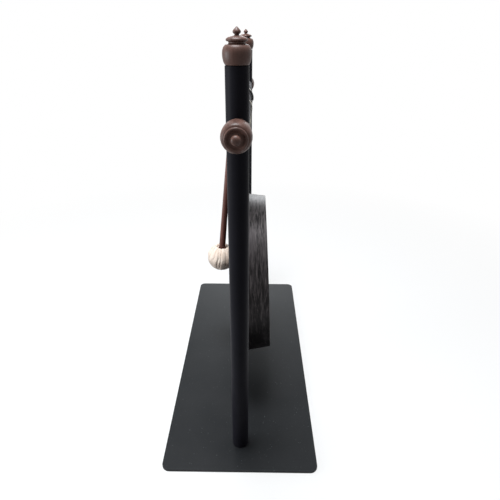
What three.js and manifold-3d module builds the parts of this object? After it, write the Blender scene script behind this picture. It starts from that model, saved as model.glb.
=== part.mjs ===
// A small tam tam gong on a table stand: a steel plate, two tube posts with turned wood ends,
// a crossbar that the gong hangs from by two cords, and a mallet that hangs in front of it.
// Millimetres, +Z up, the gong's face towards -Y. The origin is under the middle of the plate.
import * as THREE from 'three';
import { mergeVertices } from 'three/addons/utils/BufferGeometryUtils.js';
import Module from 'manifold-3d';

const wasm = await Module();
wasm.setup();

// Fits
const gap = 0.3; // between pieces that seat on or run in each other
const overrun = 6; // how far a cutting solid runs past the piece it cuts

// Base plate
const plateLength = 400;
const plateWidth = 180;
const plateThickness = 3;
const plateCornerRadius = 9;
const plateEdgeRound = 0.4;

// Tube of the posts and the crossbar
const tubeDiameter = 19;
const tubeWall = 1.5;
const postInset = 39; // from the plate's end to the post's axis
const postEdgeChamfer = 0.5;
const barHeight = 377; // the crossbar's axis above the floor
const postRise = 48.5; // from the crossbar's axis to the post's top

// Screws from below, studs at the crossbar's ends, and the plugs that they turn into
const screwDiameter = 5;
const screwHeadDiameter = 9.5;
const screwRecess = 0.3; // the head's underside above the floor
const screwLength = 18;
const studDiameter = 6;
const studEngagement = 12; // in the plug
const footPlugLength = 20;
const barPlugLength = 18;

// Turned wood finial on a post, heights from the post's end
const finialSpigotLength = 12;
const finialFootRadius = 9.4;
const finialBulbRadius = 11.2;
const finialBulbHeight = 7.5; // the widest place
const finialShoulderRadius = 8.4;
const finialShoulderHeight = 13.7;
const finialNeckRadius = 6.3;
const finialNeckHeight = 15;
const finialLidRadius = 8.3;
const finialLidHeight = 15.8; // the lid's underside
const finialLidEdge = 1.8;
const finialCrownHeight = 19.9; // the top of the lid's dome
const finialStemRadius = 1.7;
const finialOnionRadius = 3.1;
const finialOnionHeight = 22.2;
const finialHeight = 25.6;

// Turned wood knob at each end of the crossbar, lengths from the post's surface
const knobFootRadius = 11;
const knobBodyRadius = 12.4;
const knobBodyLength = 14.5; // the widest place
const knobGrooveRadius = 8.6;
const knobGrooveLength = 23;
const knobBeadRadius = 9.4;
const knobBeadWidth = 3;
const knobDishRadius = 4.6;
const knobDishDepth = 1.4;
const knobButtonRadius = 4;
const knobLength = 30;

// Gong
const gongFrontRadius = 110.6; // where the rim's slope meets the plane of the face
const gongDepth = 45.3;
const gongRimAngle = THREE.MathUtils.degToRad(8.6);
const gongShoulderRadius = 7;
const gongFaceThickness = 1.3;
const gongRimThickness = 2.1;
const gongFaceCrown = 0.8; // how far the middle of the face stands out
const gongCentreHeight = 149.9; // the middle of the face above the floor
const gongFaceOffset = 11.6; // the middle of the face in front of the crossbar's axis
const gongTilt = THREE.MathUtils.degToRad(2.75); // the top leans to the front

// Cords of the gong
const cordDiameter = 1.5;
const cordHoleDiameter = 4.4;
const cordHoleAngle = THREE.MathUtils.degToRad(25); // round the rim from its top
const cordStrandGap = 0.6; // between two strands side by side
const knotTurns = 2.5;
const cordTail = 3;

// Hook of the mallet
const hookX = -28; // its place along the crossbar
const hookWireDiameter = 2.5;
const hookBackAngle = THREE.MathUtils.degToRad(195); // how far it reaches round the crossbar
const hookShankLength = 11;
const hookBendRadius = 2.9;
const hookTipLength = 5;
const hookTipAngle = THREE.MathUtils.degToRad(60); // from level

// Mallet, lengths along its handle from the hook's bend
const malletLength = 207.1; // to the middle of the head
const malletHeadRadius = 19.7;
const malletClothThickness = 1.5;
const malletDimpleDepth = 5;
const malletPleats = 18;
const malletPleatDepth = 0.9;
const handleTopDistance = 22;
const handleTopRadius = 3.1;
const handleFootRadius = 4.7;
const handleFootEngagement = 10; // past the middle of the head
const loopCordDiameter = 2;
const loopHoleInset = 6; // the cross hole below the handle's end
const loopHoleDiameter = 2.8;
const loopEndGap = 0.6; // between the cord's two ends, glued in the hole

// Places that several pieces share
const tubeRadius = tubeDiameter / 2;
const boreRadius = tubeRadius - tubeWall;
const plugRadius = boreRadius - gap;
const postX = plateLength / 2 - postInset;
const postFoot = plateThickness + gap;
const postTop = barHeight + postRise;
const postLength = postTop - postFoot;
const studRadius = studDiameter / 2;
const studHoleRadius = studRadius + gap;
const cordRadius = cordDiameter / 2;
const loopCordRadius = loopCordDiameter / 2;
const hookWireRadius = hookWireDiameter / 2;

// Numbers of facets
const tubeFacets = 40;
const turnedFacets = 24;
const gongFacets = 64;
const smallFacets = 20;
const headFacets = malletPleats * 3;
const curveSteps = 3;
const coverSteps = 4;
const knotSteps = 10; // a turn
const gapSamples = 4; // a point of the route

// Materials
function paint(color, roughness, metalness) {
  return new THREE.MeshStandardMaterial({ color, roughness, metalness });
}
const plateBlack = paint(0x1c1c1e, 0.4, 0.2);
const tubeBlack = paint(0x0b0b0c, 0.12, 0.2);
const turnedWood = paint(0x7a4a28, 0.45, 0);
const bronze = paint(0x8a6a3c, 0.38, 1);
const paleCord = paint(0xcfc8b4, 0.9, 0);
const handleWood = paint(0x7d3f22, 0.5, 0);
const coreWood = paint(0xb58d5f, 0.7, 0);
const creamCloth = paint(0xd9cba6, 0.95, 0);
const zincSteel = paint(0x9a9c9e, 0.35, 1);
const blackWire = paint(0x202022, 0.3, 0.6);

const object = new THREE.Group();

function add(name, geometry, material, parent = object) {
  const mesh = new THREE.Mesh(geometry, material);
  mesh.name = name;
  parent.add(mesh);
  return mesh;
}

// Solids
function toSolid(geometry) {
  const bare = geometry.clone();
  bare.deleteAttribute('normal');
  bare.deleteAttribute('uv');
  const merged = mergeVertices(bare);
  const vertProperties = new Float32Array(merged.attributes.position.array);
  const triVerts = new Uint32Array(merged.index.array);
  return new wasm.Manifold(new wasm.Mesh({ numProp: 3, vertProperties, triVerts }));
}

function toGeometry(solid) {
  const mesh = solid.getMesh();
  const geometry = new THREE.BufferGeometry();
  geometry.setAttribute('position', new THREE.BufferAttribute(mesh.vertProperties, 3));
  geometry.setIndex(new THREE.BufferAttribute(mesh.triVerts, 1));
  geometry.computeVertexNormals();
  return geometry;
}

function cut(geometry, cutters) {
  let solid = toSolid(geometry);
  for (const cutter of cutters) {
    solid = solid.subtract(toSolid(cutter));
  }
  return toGeometry(solid);
}

// A profile of (radius, height) turned round the Z axis
function turned(path, facets) {
  return new THREE.LatheGeometry(path.getPoints(curveSteps), facets).rotateX(Math.PI / 2);
}

// A round bar round Z between two heights
function rod(radius, bottom, top, facets) {
  const path = new THREE.Path();
  path.moveTo(0, bottom);
  path.lineTo(radius, bottom);
  path.lineTo(radius, top);
  path.lineTo(0, top);
  return turned(path, facets);
}

// The same bar lying along X
function levelRod(radius, start, end, facets) {
  return rod(radius, start, end, facets).rotateY(Math.PI / 2);
}

// A line through chosen points, with one step of the tube at each point
class Route extends THREE.CatmullRomCurve3 {
  getPointAt(share) {
    return this.getPoint(share);
  }

  getTangentAt(share) {
    return this.getTangent(share);
  }
}

function roundTube(points, radius) {
  const section = new THREE.Shape();
  section.absarc(0, 0, radius, 0, 2 * Math.PI);
  return new THREE.ExtrudeGeometry(section, {
    extrudePath: new Route(points),
    steps: points.length - 1,
    curveSegments: 4,
  });
}

// Base plate: rounded corners, softened edges, countersunk holes from below
function makePlate() {
  const x = plateLength / 2;
  const y = plateWidth / 2;
  const r = plateCornerRadius;
  const outline = new THREE.Shape();
  outline.moveTo(r - x, -y);
  outline.lineTo(x - r, -y);
  outline.absarc(x - r, r - y, r, -Math.PI / 2, 0);
  outline.lineTo(x, y - r);
  outline.absarc(x - r, y - r, r, 0, Math.PI / 2);
  outline.lineTo(r - x, y);
  outline.absarc(r - x, y - r, r, Math.PI / 2, Math.PI);
  outline.lineTo(-x, r - y);
  outline.absarc(r - x, r - y, r, Math.PI, 1.5 * Math.PI);
  const slab = new THREE.ExtrudeGeometry(outline, {
    depth: plateThickness - 2 * plateEdgeRound,
    bevelThickness: plateEdgeRound,
    bevelSize: plateEdgeRound,
    bevelOffset: -plateEdgeRound,
    bevelSegments: 1,
    curveSegments: 4,
  });
  slab.translate(0, 0, plateEdgeRound);

  const shank = screwDiameter / 2 + gap;
  const sink = (screwHeadDiameter - screwDiameter) / 2 + screwRecess;
  const hole = new THREE.Path();
  hole.moveTo(0, -overrun);
  hole.lineTo(shank + sink + overrun, -overrun);
  hole.lineTo(shank, sink);
  hole.lineTo(shank, plateThickness + overrun);
  hole.lineTo(0, plateThickness + overrun);
  const holes = [-postX, postX].map((place) => turned(hole, smallFacets).translate(place, 0, 0));
  return cut(slab, holes);
}
add('base_plate', makePlate(), plateBlack);

// Screw up through the plate, and the plug in the post's foot that it turns into
function makeBaseScrew() {
  const head = screwHeadDiameter / 2;
  const shank = screwDiameter / 2;
  const path = new THREE.Path();
  path.moveTo(0, screwRecess);
  path.lineTo(head, screwRecess);
  path.lineTo(shank, screwRecess + head - shank);
  path.lineTo(shank, screwRecess + screwLength);
  path.lineTo(0, screwRecess + screwLength);
  return turned(path, smallFacets);
}

// A plug with a blind hole from its lower end
function makePlug(length, holeRadius, holeDepth) {
  const path = new THREE.Path();
  path.moveTo(0, holeDepth);
  path.lineTo(holeRadius, holeDepth);
  path.lineTo(holeRadius, 0);
  path.lineTo(plugRadius, 0);
  path.lineTo(plugRadius, length);
  path.lineTo(0, length);
  return turned(path, smallFacets);
}

// Post: a tube with a chamfered top, and a hole through both walls for the stud
function makePost() {
  const path = new THREE.Path();
  path.moveTo(boreRadius, 0);
  path.lineTo(tubeRadius, 0);
  path.lineTo(tubeRadius, postLength - postEdgeChamfer);
  path.lineTo(tubeRadius - postEdgeChamfer, postLength);
  path.lineTo(boreRadius, postLength);
  path.lineTo(boreRadius, 0);
  const stud = levelRod(studHoleRadius, -tubeRadius - overrun, tubeRadius + overrun, smallFacets);
  return cut(turned(path, tubeFacets), [stud.translate(0, 0, barHeight - postFoot)]);
}

// Finial: spigot, bulb, undercut neck, domed lid and onion knob
function makeFinial() {
  const path = new THREE.Path();
  path.moveTo(0, -finialSpigotLength);
  path.lineTo(plugRadius, -finialSpigotLength);
  path.lineTo(plugRadius, 0);
  path.lineTo(finialFootRadius, 0);
  const swellShare = 0.35;
  const rollShare = 0.75;
  const bulbRoll = (finialShoulderHeight - finialBulbHeight) * rollShare;
  const lidRoll = finialLidEdge / 2;
  path.quadraticCurveTo(
    finialBulbRadius, finialBulbHeight * swellShare,
    finialBulbRadius, finialBulbHeight,
  );
  path.quadraticCurveTo(
    finialBulbRadius, finialBulbHeight + bulbRoll,
    finialShoulderRadius, finialShoulderHeight,
  );
  path.quadraticCurveTo(
    finialNeckRadius, finialShoulderHeight,
    finialNeckRadius, finialNeckHeight,
  );
  path.lineTo(finialNeckRadius, finialLidHeight);
  path.lineTo(finialLidRadius - lidRoll, finialLidHeight);
  path.absarc(
    finialLidRadius - lidRoll, finialLidHeight + lidRoll, lidRoll,
    -Math.PI / 2, Math.PI / 4,
  );
  path.bezierCurveTo(
    finialLidRadius * rollShare, finialCrownHeight,
    finialStemRadius, finialCrownHeight,
    finialStemRadius, finialCrownHeight + finialStemRadius / 2,
  );
  path.quadraticCurveTo(
    finialOnionRadius, finialCrownHeight + finialStemRadius / 2,
    finialOnionRadius, finialOnionHeight,
  );
  path.quadraticCurveTo(
    finialOnionRadius, finialOnionHeight + (finialHeight - finialOnionHeight) * swellShare,
    0, finialHeight,
  );
  return turned(path, turnedFacets);
}

// Crossbar: a tube whose ends are hollowed to the posts
function makeCrossbar() {
  const path = new THREE.Path();
  path.moveTo(boreRadius, -postX);
  path.lineTo(tubeRadius, -postX);
  path.lineTo(tubeRadius, postX);
  path.lineTo(boreRadius, postX);
  path.lineTo(boreRadius, -postX);
  const bar = turned(path, tubeFacets).rotateY(Math.PI / 2);
  const reach = tubeRadius + overrun;
  const posts = [-postX, postX].map(
    (place) => rod(tubeRadius + gap, -reach, reach, tubeFacets).translate(place, 0, 0),
  );
  return cut(bar, posts);
}

// Knob outside a post: hollowed to the post, with a groove, a bead and a button in a dish
function makeBarKnob() {
  const beadMiddle = knobGrooveLength + knobBeadWidth / 2;
  const beadEnd = knobGrooveLength + knobBeadWidth;
  const dishBottom = beadEnd - knobDishDepth;
  const rollShare = 0.6;
  const path = new THREE.Path();
  path.moveTo(0, -tubeRadius);
  path.lineTo(knobFootRadius, -tubeRadius);
  path.lineTo(knobFootRadius, 0);
  path.quadraticCurveTo(
    knobBodyRadius, knobBodyLength * (1 - rollShare),
    knobBodyRadius, knobBodyLength,
  );
  path.bezierCurveTo(
    knobBodyRadius, knobBodyLength + (knobGrooveLength - knobBodyLength) * rollShare,
    knobGrooveRadius + (knobBodyRadius - knobGrooveRadius) * rollShare, knobGrooveLength,
    knobGrooveRadius, knobGrooveLength,
  );
  path.quadraticCurveTo(knobBeadRadius, knobGrooveLength, knobBeadRadius, beadMiddle);
  path.quadraticCurveTo(knobBeadRadius, beadEnd, knobGrooveRadius, beadEnd);
  path.quadraticCurveTo(
    knobDishRadius + (knobGrooveRadius - knobDishRadius) * (1 - rollShare), dishBottom,
    knobDishRadius, dishBottom,
  );
  path.lineTo(knobButtonRadius, dishBottom);
  path.lineTo(knobButtonRadius, knobLength - knobButtonRadius * rollShare);
  path.bezierCurveTo(
    knobButtonRadius, knobLength - knobButtonRadius * rollShare * (1 - rollShare),
    knobButtonRadius * rollShare, knobLength,
    0, knobLength,
  );
  const post = levelRod(tubeRadius + gap, -tubeDiameter, tubeDiameter, tubeFacets);
  const stud = rod(studHoleRadius, -tubeDiameter, knobBodyLength + gap, smallFacets);
  post.translate(0, 0, -tubeRadius);
  return cut(turned(path, turnedFacets), [post, stud]);
}

// The two posts with what they carry, each made by the same loop
const sides = [
  { name: 'left', sign: -1 },
  { name: 'right', sign: 1 },
];
const studStart = postX - tubeRadius - gap - studEngagement;
const studEnd = postX + tubeRadius + knobBodyLength;
for (const side of sides) {
  const x = side.sign * postX;
  add(`base_screw_${side.name}`, makeBaseScrew(), zincSteel).position.x = x;
  const footHole = screwRecess + screwLength - postFoot + gap;
  const footPlug = makePlug(footPlugLength, screwDiameter / 2 + gap, footHole);
  add(`foot_insert_${side.name}`, footPlug, zincSteel).position.set(x, 0, postFoot);
  add(`post_${side.name}`, makePost(), tubeBlack).position.set(x, 0, postFoot);
  add(`finial_${side.name}`, makeFinial(), turnedWood).position.set(x, 0, postTop + gap);

  const barPlug = makePlug(barPlugLength, studHoleRadius, studEngagement + gap);
  const plug = add(`bar_insert_${side.name}`, barPlug, zincSteel);
  plug.position.set(x - side.sign * (tubeRadius + gap), 0, barHeight);
  plug.rotation.y = -side.sign * Math.PI / 2;

  const studRod = rod(studRadius, studStart, studEnd, smallFacets);
  const stud = add(`bar_stud_${side.name}`, studRod, zincSteel);
  stud.position.z = barHeight;
  stud.rotation.y = side.sign * Math.PI / 2;

  const knob = add(`bar_knob_${side.name}`, makeBarKnob(), turnedWood);
  knob.position.set(x + side.sign * tubeRadius, 0, barHeight);
  knob.rotation.y = side.sign * Math.PI / 2;
}
add('crossbar', makeCrossbar(), tubeBlack).position.z = barHeight;

// Gong: one spun sheet, its face slightly crowned and its rim turned back and drawn in
const rimSlope = Math.tan(gongRimAngle);

// Radius of the rim's outside at a distance behind the plane of the face
function rimRadius(depth) {
  return gongFrontRadius - depth * rimSlope;
}

// Where a round inside the corner between the face and the rim has its middle
function shoulderMiddle(radius, faceDepth, rimDepth) {
  const height = faceDepth + radius;
  const reach = rimDepth + radius + height * Math.sin(gongRimAngle);
  return { radius: gongFrontRadius - reach / Math.cos(gongRimAngle), height };
}

// The cords' holes: the middle of the sheet on the rim, with the direction out of the rim there
const cordSheetRadius = gongFrontRadius - gongRimThickness / 2 / Math.cos(gongRimAngle);
const cordDrop = Math.cos(cordHoleAngle) * Math.sin(gongTilt);
const cordHoleDepth =
  (gongFaceOffset + cordSheetRadius * cordDrop) / (Math.cos(gongTilt) + rimSlope * cordDrop);
const cordHoleRadius = cordSheetRadius - cordHoleDepth * rimSlope;

function holePlace(sign) {
  const place = new THREE.Vector3(
    sign * cordHoleRadius * Math.sin(cordHoleAngle),
    cordHoleDepth,
    cordHoleRadius * Math.cos(cordHoleAngle),
  );
  const out = new THREE.Vector3(
    sign * Math.sin(cordHoleAngle) * Math.cos(gongRimAngle),
    Math.sin(gongRimAngle),
    Math.cos(cordHoleAngle) * Math.cos(gongRimAngle),
  );
  return { place, out };
}

function makeGong() {
  const insideRadius = gongShoulderRadius - gongFaceThickness;
  const outside = shoulderMiddle(gongShoulderRadius, 0, 0);
  const inside = shoulderMiddle(insideRadius, gongFaceThickness, gongRimThickness);
  const edge = gongRimThickness / 2;
  const edgeRadius = rimRadius(gongDepth) - edge * Math.cos(gongRimAngle);
  const edgeDepth = gongDepth - edge * Math.sin(gongRimAngle);
  const crownShare = 0.5;
  const path = new THREE.Path();
  path.moveTo(0, -gongFaceCrown);
  path.bezierCurveTo(
    outside.radius * crownShare, -gongFaceCrown,
    outside.radius * crownShare, 0,
    outside.radius, 0,
  );
  path.absarc(
    outside.radius, outside.height, gongShoulderRadius,
    -Math.PI / 2, gongRimAngle,
  );
  path.absarc(edgeRadius, edgeDepth, edge, gongRimAngle, gongRimAngle + Math.PI);
  path.absarc(
    inside.radius, inside.height, insideRadius,
    gongRimAngle, -Math.PI / 2, true,
  );
  path.bezierCurveTo(
    inside.radius * crownShare, gongFaceThickness,
    inside.radius * crownShare, gongFaceThickness - gongFaceCrown,
    0, gongFaceThickness - gongFaceCrown,
  );
  const bowl = new THREE.LatheGeometry(path.getPoints(curveSteps), gongFacets);
  const holes = sides.map((side) => {
    const { place, out } = holePlace(side.sign);
    const hole = rod(cordHoleDiameter / 2, -overrun, overrun, smallFacets);
    hole.applyQuaternion(
      new THREE.Quaternion().setFromUnitVectors(new THREE.Vector3(0, 0, 1), out),
    );
    return hole.translate(place.x, place.y, place.z);
  });
  return cut(bowl, holes);
}
const gong = add('gong', makeGong(), bronze);
gong.position.set(0, -gongFaceOffset, gongCentreHeight);
gong.rotation.x = gongTilt;
gong.updateMatrixWorld();

// A cord of the gong: out of its knot, through the hole, over the crossbar and back down
// through the hole, where it winds round its own first strand and ends
function cordPoints(sign) {
  const { place, out } = holePlace(sign);
  const middle = place.applyMatrix4(gong.matrixWorld);
  out.transformDirection(gong.matrixWorld);
  const across = new THREE.Vector3(0, 1, 0);
  across.addScaledVector(out, -across.dot(out)).normalize();
  const along = new THREE.Vector3().crossVectors(out, across);
  const spacing = cordDiameter + cordStrandGap;
  const half = spacing / 2;

  // A point in the hole's own directions
  const at = (acrossShift, alongShift, height) => middle.clone()
    .addScaledVector(across, acrossShift)
    .addScaledVector(along, alongShift)
    .addScaledVector(out, height);

  // The knot's first turn lies close under the sheet
  const knotTop = gongRimThickness / 2 + gap + (spacing + cordRadius) * Math.sin(gongRimAngle) / 2;
  const turnsStart = -knotTop - cordRadius;
  const knotDepth = knotTop + cordRadius + spacing * knotTurns;
  const leaveHeight = gongRimThickness / 2 + cordDiameter;
  const bar = new THREE.Vector3(at(0, 0, leaveHeight + cordRadius).x, 0, barHeight);
  const barLoop = tubeRadius + gap + cordRadius;

  // Where a strand from the hole meets the round of the crossbar
  const strandFoot = (shift) => at(shift, 0, leaveHeight);
  const meetAngle = (shift) => {
    const foot = strandFoot(shift);
    const distance = Math.hypot(foot.y - bar.y, foot.z - bar.z);
    const towards = Math.atan2(foot.z - bar.z, foot.y - bar.y);
    return towards + Math.sign(shift) * Math.acos(barLoop / distance);
  };
  const onBar = (angle) => new THREE.Vector3(
    bar.x, barLoop * Math.cos(angle), bar.z + barLoop * Math.sin(angle),
  );
  const points = [];

  // The first strand's tail and its run through the hole
  points.push(at(half, 0, -knotDepth - cordTail));
  points.push(at(half, 0, -knotDepth / 2));
  points.push(at(half, 0, 0));
  points.push(at(half, 0, gongRimThickness / 2 + cordRadius));

  // Up to the crossbar, over it and down again
  const upAngle = meetAngle(half);
  const downAngle = meetAngle(-half) + 2 * Math.PI;
  const sweep = downAngle - upAngle;
  const strandSteps = 3;
  const rise = (shift, angle) => {
    const leave = strandFoot(shift);
    leave.x = bar.x;
    leave.z += cordRadius;
    const strand = [];
    for (let step = 0; step <= strandSteps; step += 1) {
      strand.push(leave.clone().lerp(onBar(angle), step / strandSteps));
    }
    return strand;
  };
  points.push(...rise(half, upAngle));
  const overSteps = 10;
  for (let step = 1; step < overSteps; step += 1) {
    points.push(onBar(upAngle + (sweep * step) / overSteps));
  }
  points.push(...rise(-half, downAngle).reverse());
  points.push(at(-half, 0, gongRimThickness / 2 + cordRadius));

  // Into the turn: from straight to round in a quarter of a turn
  const entrySteps = 3;
  const entryStart = turnsStart + spacing;
  for (let step = 0; step < entrySteps; step += 1) {
    const part = (step / entrySteps) * (Math.PI / 2);
    const turn = (Math.PI / 2) * (1 - Math.cos(part));
    const height = entryStart - spacing * Math.sin(part);
    points.push(at(half - spacing * Math.cos(turn), spacing * Math.sin(turn), height));
  }
  const turnSteps = Math.round(knotTurns * knotSteps);
  for (let step = 0; step <= turnSteps; step += 1) {
    const turn = Math.PI / 2 + (step / turnSteps) * knotTurns * 2 * Math.PI;
    const height = turnsStart - (step / turnSteps) * knotTurns * spacing;
    points.push(at(half - spacing * Math.cos(turn), spacing * Math.sin(turn), height));
  }
  return points;
}

// The least clear distance between two stretches of a tube that aren't neighbours along it
function leastGap(points, diameter) {
  const route = new Route(points);
  const dense = route.getPoints(points.length * gapSamples);
  const along = [0];
  for (let index = 1; index < dense.length; index += 1) {
    along.push(along[index - 1] + dense[index].distanceTo(dense[index - 1]));
  }
  let least = Infinity;
  for (let first = 0; first < dense.length; first += 1) {
    for (let second = first + 1; second < dense.length; second += 1) {
      if (along[second] - along[first] > diameter * Math.PI) {
        least = Math.min(least, dense[first].distanceTo(dense[second]) - diameter);
      }
    }
  }
  return least;
}

for (const side of sides) {
  const points = cordPoints(side.sign);
  add(`gong_cord_${side.name}`, roundTube(points, cordRadius), paleCord);
  const least = leastGap(points, cordDiameter).toFixed(2);
  console.log(`gong_cord_${side.name}: least gap to itself ${least} mm`);
}

// Hook: a wire that grips round the crossbar and ends in a bend with an open tip
const hookGrip = tubeRadius + gap + hookWireRadius;
const bendForward = hookGrip + hookBendRadius;
const bendHeight = barHeight - hookShankLength;

function hookPoints() {
  const points = [];
  const gripSteps = 13;
  for (let step = 0; step <= gripSteps; step += 1) {
    const angle = hookBackAngle * (1 - step / gripSteps);
    points.push([hookGrip * Math.cos(angle), barHeight + hookGrip * Math.sin(angle)]);
  }
  const bendSteps = 6;
  const bendSweep = Math.PI / 2 + hookTipAngle;
  for (let step = 0; step <= bendSteps; step += 1) {
    const angle = Math.PI + (bendSweep * step) / bendSteps;
    points.push([
      bendForward + hookBendRadius * Math.cos(angle),
      bendHeight + hookBendRadius * Math.sin(angle),
    ]);
  }
  const last = points[points.length - 1];
  points.push([
    last[0] + hookTipLength * Math.cos(hookTipAngle),
    last[1] + hookTipLength * Math.sin(hookTipAngle),
  ]);
  return points.map(([forward, height]) => new THREE.Vector3(hookX, -forward, height));
}
add('mallet_hook', roundTube(hookPoints(), hookWireRadius), blackWire);

// The mallet hangs from the hook's bend and leans so that its head rests on the gong's face
const mallet = new THREE.Group();
const seatForward = bendForward;
const seatHeight = bendHeight - hookBendRadius;
const restDistance = malletHeadRadius + gap + gongFaceCrown;
const leanReach =
  restDistance +
  (gongFaceOffset - seatForward) * Math.cos(gongTilt) +
  (seatHeight - gongCentreHeight) * Math.sin(gongTilt);
const malletLean = Math.asin(leanReach / malletLength) - gongTilt;
mallet.position.set(hookX, -seatForward, seatHeight);
mallet.rotation.x = -malletLean;
object.add(mallet);

// Handle: tapered, with a round top and a cross hole for the loop
const handleFoot = -malletLength - handleFootEngagement;
function makeHandle() {
  const path = new THREE.Path();
  const roundShare = 0.5523; // of a radius, for a quarter round
  const top = -handleTopDistance;
  const roundStart = top - handleTopRadius;
  path.moveTo(0, handleFoot);
  path.lineTo(handleFootRadius, handleFoot);
  path.lineTo(handleTopRadius, roundStart);
  path.bezierCurveTo(
    handleTopRadius, roundStart + handleTopRadius * roundShare,
    handleTopRadius * roundShare, top,
    0, top,
  );
  const hole = levelRod(loopHoleDiameter / 2, -handleFootRadius, handleFootRadius, smallFacets);
  return cut(turned(path, turnedFacets), [hole.translate(0, 0, top - loopHoleInset)]);
}
add('mallet_handle', makeHandle(), handleWood, mallet);

// Loop: over the hook's bend, down beside the handle and into its cross hole from both sides
function loopPoints() {
  const overHook = hookWireRadius + gap + loopCordRadius;
  const besideHandle = handleTopRadius + gap + loopCordRadius;
  const holeHeight = -handleTopDistance - loopHoleInset;
  const turnRadius = loopCordDiameter;
  const half = [];
  half.push([loopEndGap / 2, holeHeight]);
  half.push([besideHandle - loopCordRadius, holeHeight]);
  const cornerSteps = 4;
  for (let step = 0; step <= cornerSteps; step += 1) {
    const angle = -Math.PI / 2 + (step / cornerSteps) * (Math.PI / 2);
    half.push([
      besideHandle + turnRadius * (Math.cos(angle) - 1) + loopCordRadius,
      holeHeight + turnRadius * (Math.sin(angle) + 1),
    ]);
  }
  half.push([besideHandle, -handleTopDistance + loopCordRadius]);
  half.push([overHook, -overHook]);
  const overSteps = 4;
  for (let step = 0; step <= overSteps; step += 1) {
    const angle = (step / overSteps) * (Math.PI / 2);
    half.push([overHook * Math.cos(angle), overHook * Math.sin(angle)]);
  }
  const other = half.slice(0, -1).reverse().map(([x, z]) => [-x, z]);
  return [...half, ...other].map(([x, z]) => new THREE.Vector3(x, 0, z));
}
add('mallet_loop', roundTube(loopPoints(), loopCordRadius), paleCord, mallet);

// Core: a ball with a dimple round the handle and a blind hole for it
const coreRadius = malletHeadRadius - malletClothThickness - gap;
const handleAtHead = handleFootRadius + gap;
const dimpleHeight = coreRadius - malletDimpleDepth;

// The ball's outline at a distance outside the core, up to the dimple's floor at the handle
function ballOutline(offset) {
  const radius = coreRadius + offset;
  const lipAngle = THREE.MathUtils.degToRad(55);
  const rollShare = 0.3;
  const floorShare = 0.6;
  const path = new THREE.Path();
  path.moveTo(0, -radius);
  path.absarc(0, 0, radius, -Math.PI / 2, lipAngle);
  path.bezierCurveTo(
    radius * (Math.cos(lipAngle) - rollShare * Math.sin(lipAngle)),
    radius * (Math.sin(lipAngle) + rollShare * Math.cos(lipAngle)),
    handleAtHead + malletDimpleDepth * floorShare, dimpleHeight + offset,
    handleAtHead, dimpleHeight + offset,
  );
  return path;
}

function makeCore() {
  const path = ballOutline(0);
  path.lineTo(handleAtHead, -handleFootEngagement - gap);
  path.lineTo(0, -handleFootEngagement - gap);
  return turned(path, turnedFacets);
}
add('mallet_core', makeCore(), coreWood, mallet).position.z = -malletLength;

// Cover: a round of cloth drawn up over the ball and gathered round the handle, its pleats
// deepest at the neck and gone below the middle
function makeCover() {
  const outside = ballOutline(malletClothThickness + gap).getPoints(coverSteps);
  const inside = ballOutline(gap).getPoints(curveSteps).reverse();
  const cover = new THREE.LatheGeometry([...outside, ...inside], headFacets);
  const place = cover.attributes.position;
  const clothMiddle = malletHeadRadius - malletClothThickness / 2;
  const point = new THREE.Vector3();
  for (let index = 0; index < place.count; index += 1) {
    point.fromBufferAttribute(place, index);
    const heightShare = THREE.MathUtils.clamp(point.y / malletHeadRadius, 0, 1);
    if (point.length() > clothMiddle && heightShare > 0) {
      const round = Math.atan2(point.z, point.x) * malletPleats;
      const depth = malletPleatDepth * heightShare * (1 - Math.cos(round)) / 2;
      point.setLength(point.length() - depth);
      place.setXYZ(index, point.x, point.y, point.z);
    }
  }
  return cover.rotateX(Math.PI / 2);
}
add('mallet_cover', makeCover(), creamCloth, mallet).position.z = -malletLength;

export default object;
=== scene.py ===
# A small tam tam gong on a table stand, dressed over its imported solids.
import bpy
import bmesh
import math
from mathutils import Matrix, Vector, noise


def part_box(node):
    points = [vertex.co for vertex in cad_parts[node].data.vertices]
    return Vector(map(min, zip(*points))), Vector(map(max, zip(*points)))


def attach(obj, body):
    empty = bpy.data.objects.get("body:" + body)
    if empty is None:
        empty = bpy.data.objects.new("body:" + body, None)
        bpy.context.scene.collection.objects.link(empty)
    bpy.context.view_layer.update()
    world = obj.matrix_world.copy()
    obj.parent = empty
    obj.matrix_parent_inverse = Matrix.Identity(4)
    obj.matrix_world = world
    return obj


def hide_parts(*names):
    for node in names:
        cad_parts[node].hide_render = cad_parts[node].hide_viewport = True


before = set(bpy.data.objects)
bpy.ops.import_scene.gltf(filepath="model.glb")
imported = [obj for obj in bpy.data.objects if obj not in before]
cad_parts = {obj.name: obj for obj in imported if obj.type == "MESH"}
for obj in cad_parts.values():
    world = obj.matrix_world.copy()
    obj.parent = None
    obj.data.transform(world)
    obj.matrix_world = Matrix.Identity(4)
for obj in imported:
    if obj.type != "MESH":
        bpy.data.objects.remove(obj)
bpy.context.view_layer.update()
mm = 0.001


# Camera
# It stands past the right-hand post, a little above the crossbar, and looks down along the
# crossbar towards the left-hand post.
camera_place = Vector((505.2, 13.8, 447.9)) * mm
camera_heading = math.radians(90.55)
camera_pitch = math.radians(27.63)
camera_roll = math.radians(0.28)
camera_lens = 30.02

bpy.ops.object.camera_add(location=camera_place)
camera = bpy.context.object
camera.name = "camera"
camera.rotation_euler = (
    Matrix.Rotation(camera_heading, 3, "Z")
    @ Matrix.Rotation(math.pi / 2 - camera_pitch, 3, "X")
    @ Matrix.Rotation(camera_roll, 3, "Z")
).to_euler()
camera.data.lens = camera_lens
camera.data.sensor_width = 36
camera.data.clip_start = 0.01
bpy.context.scene.camera = camera


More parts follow.
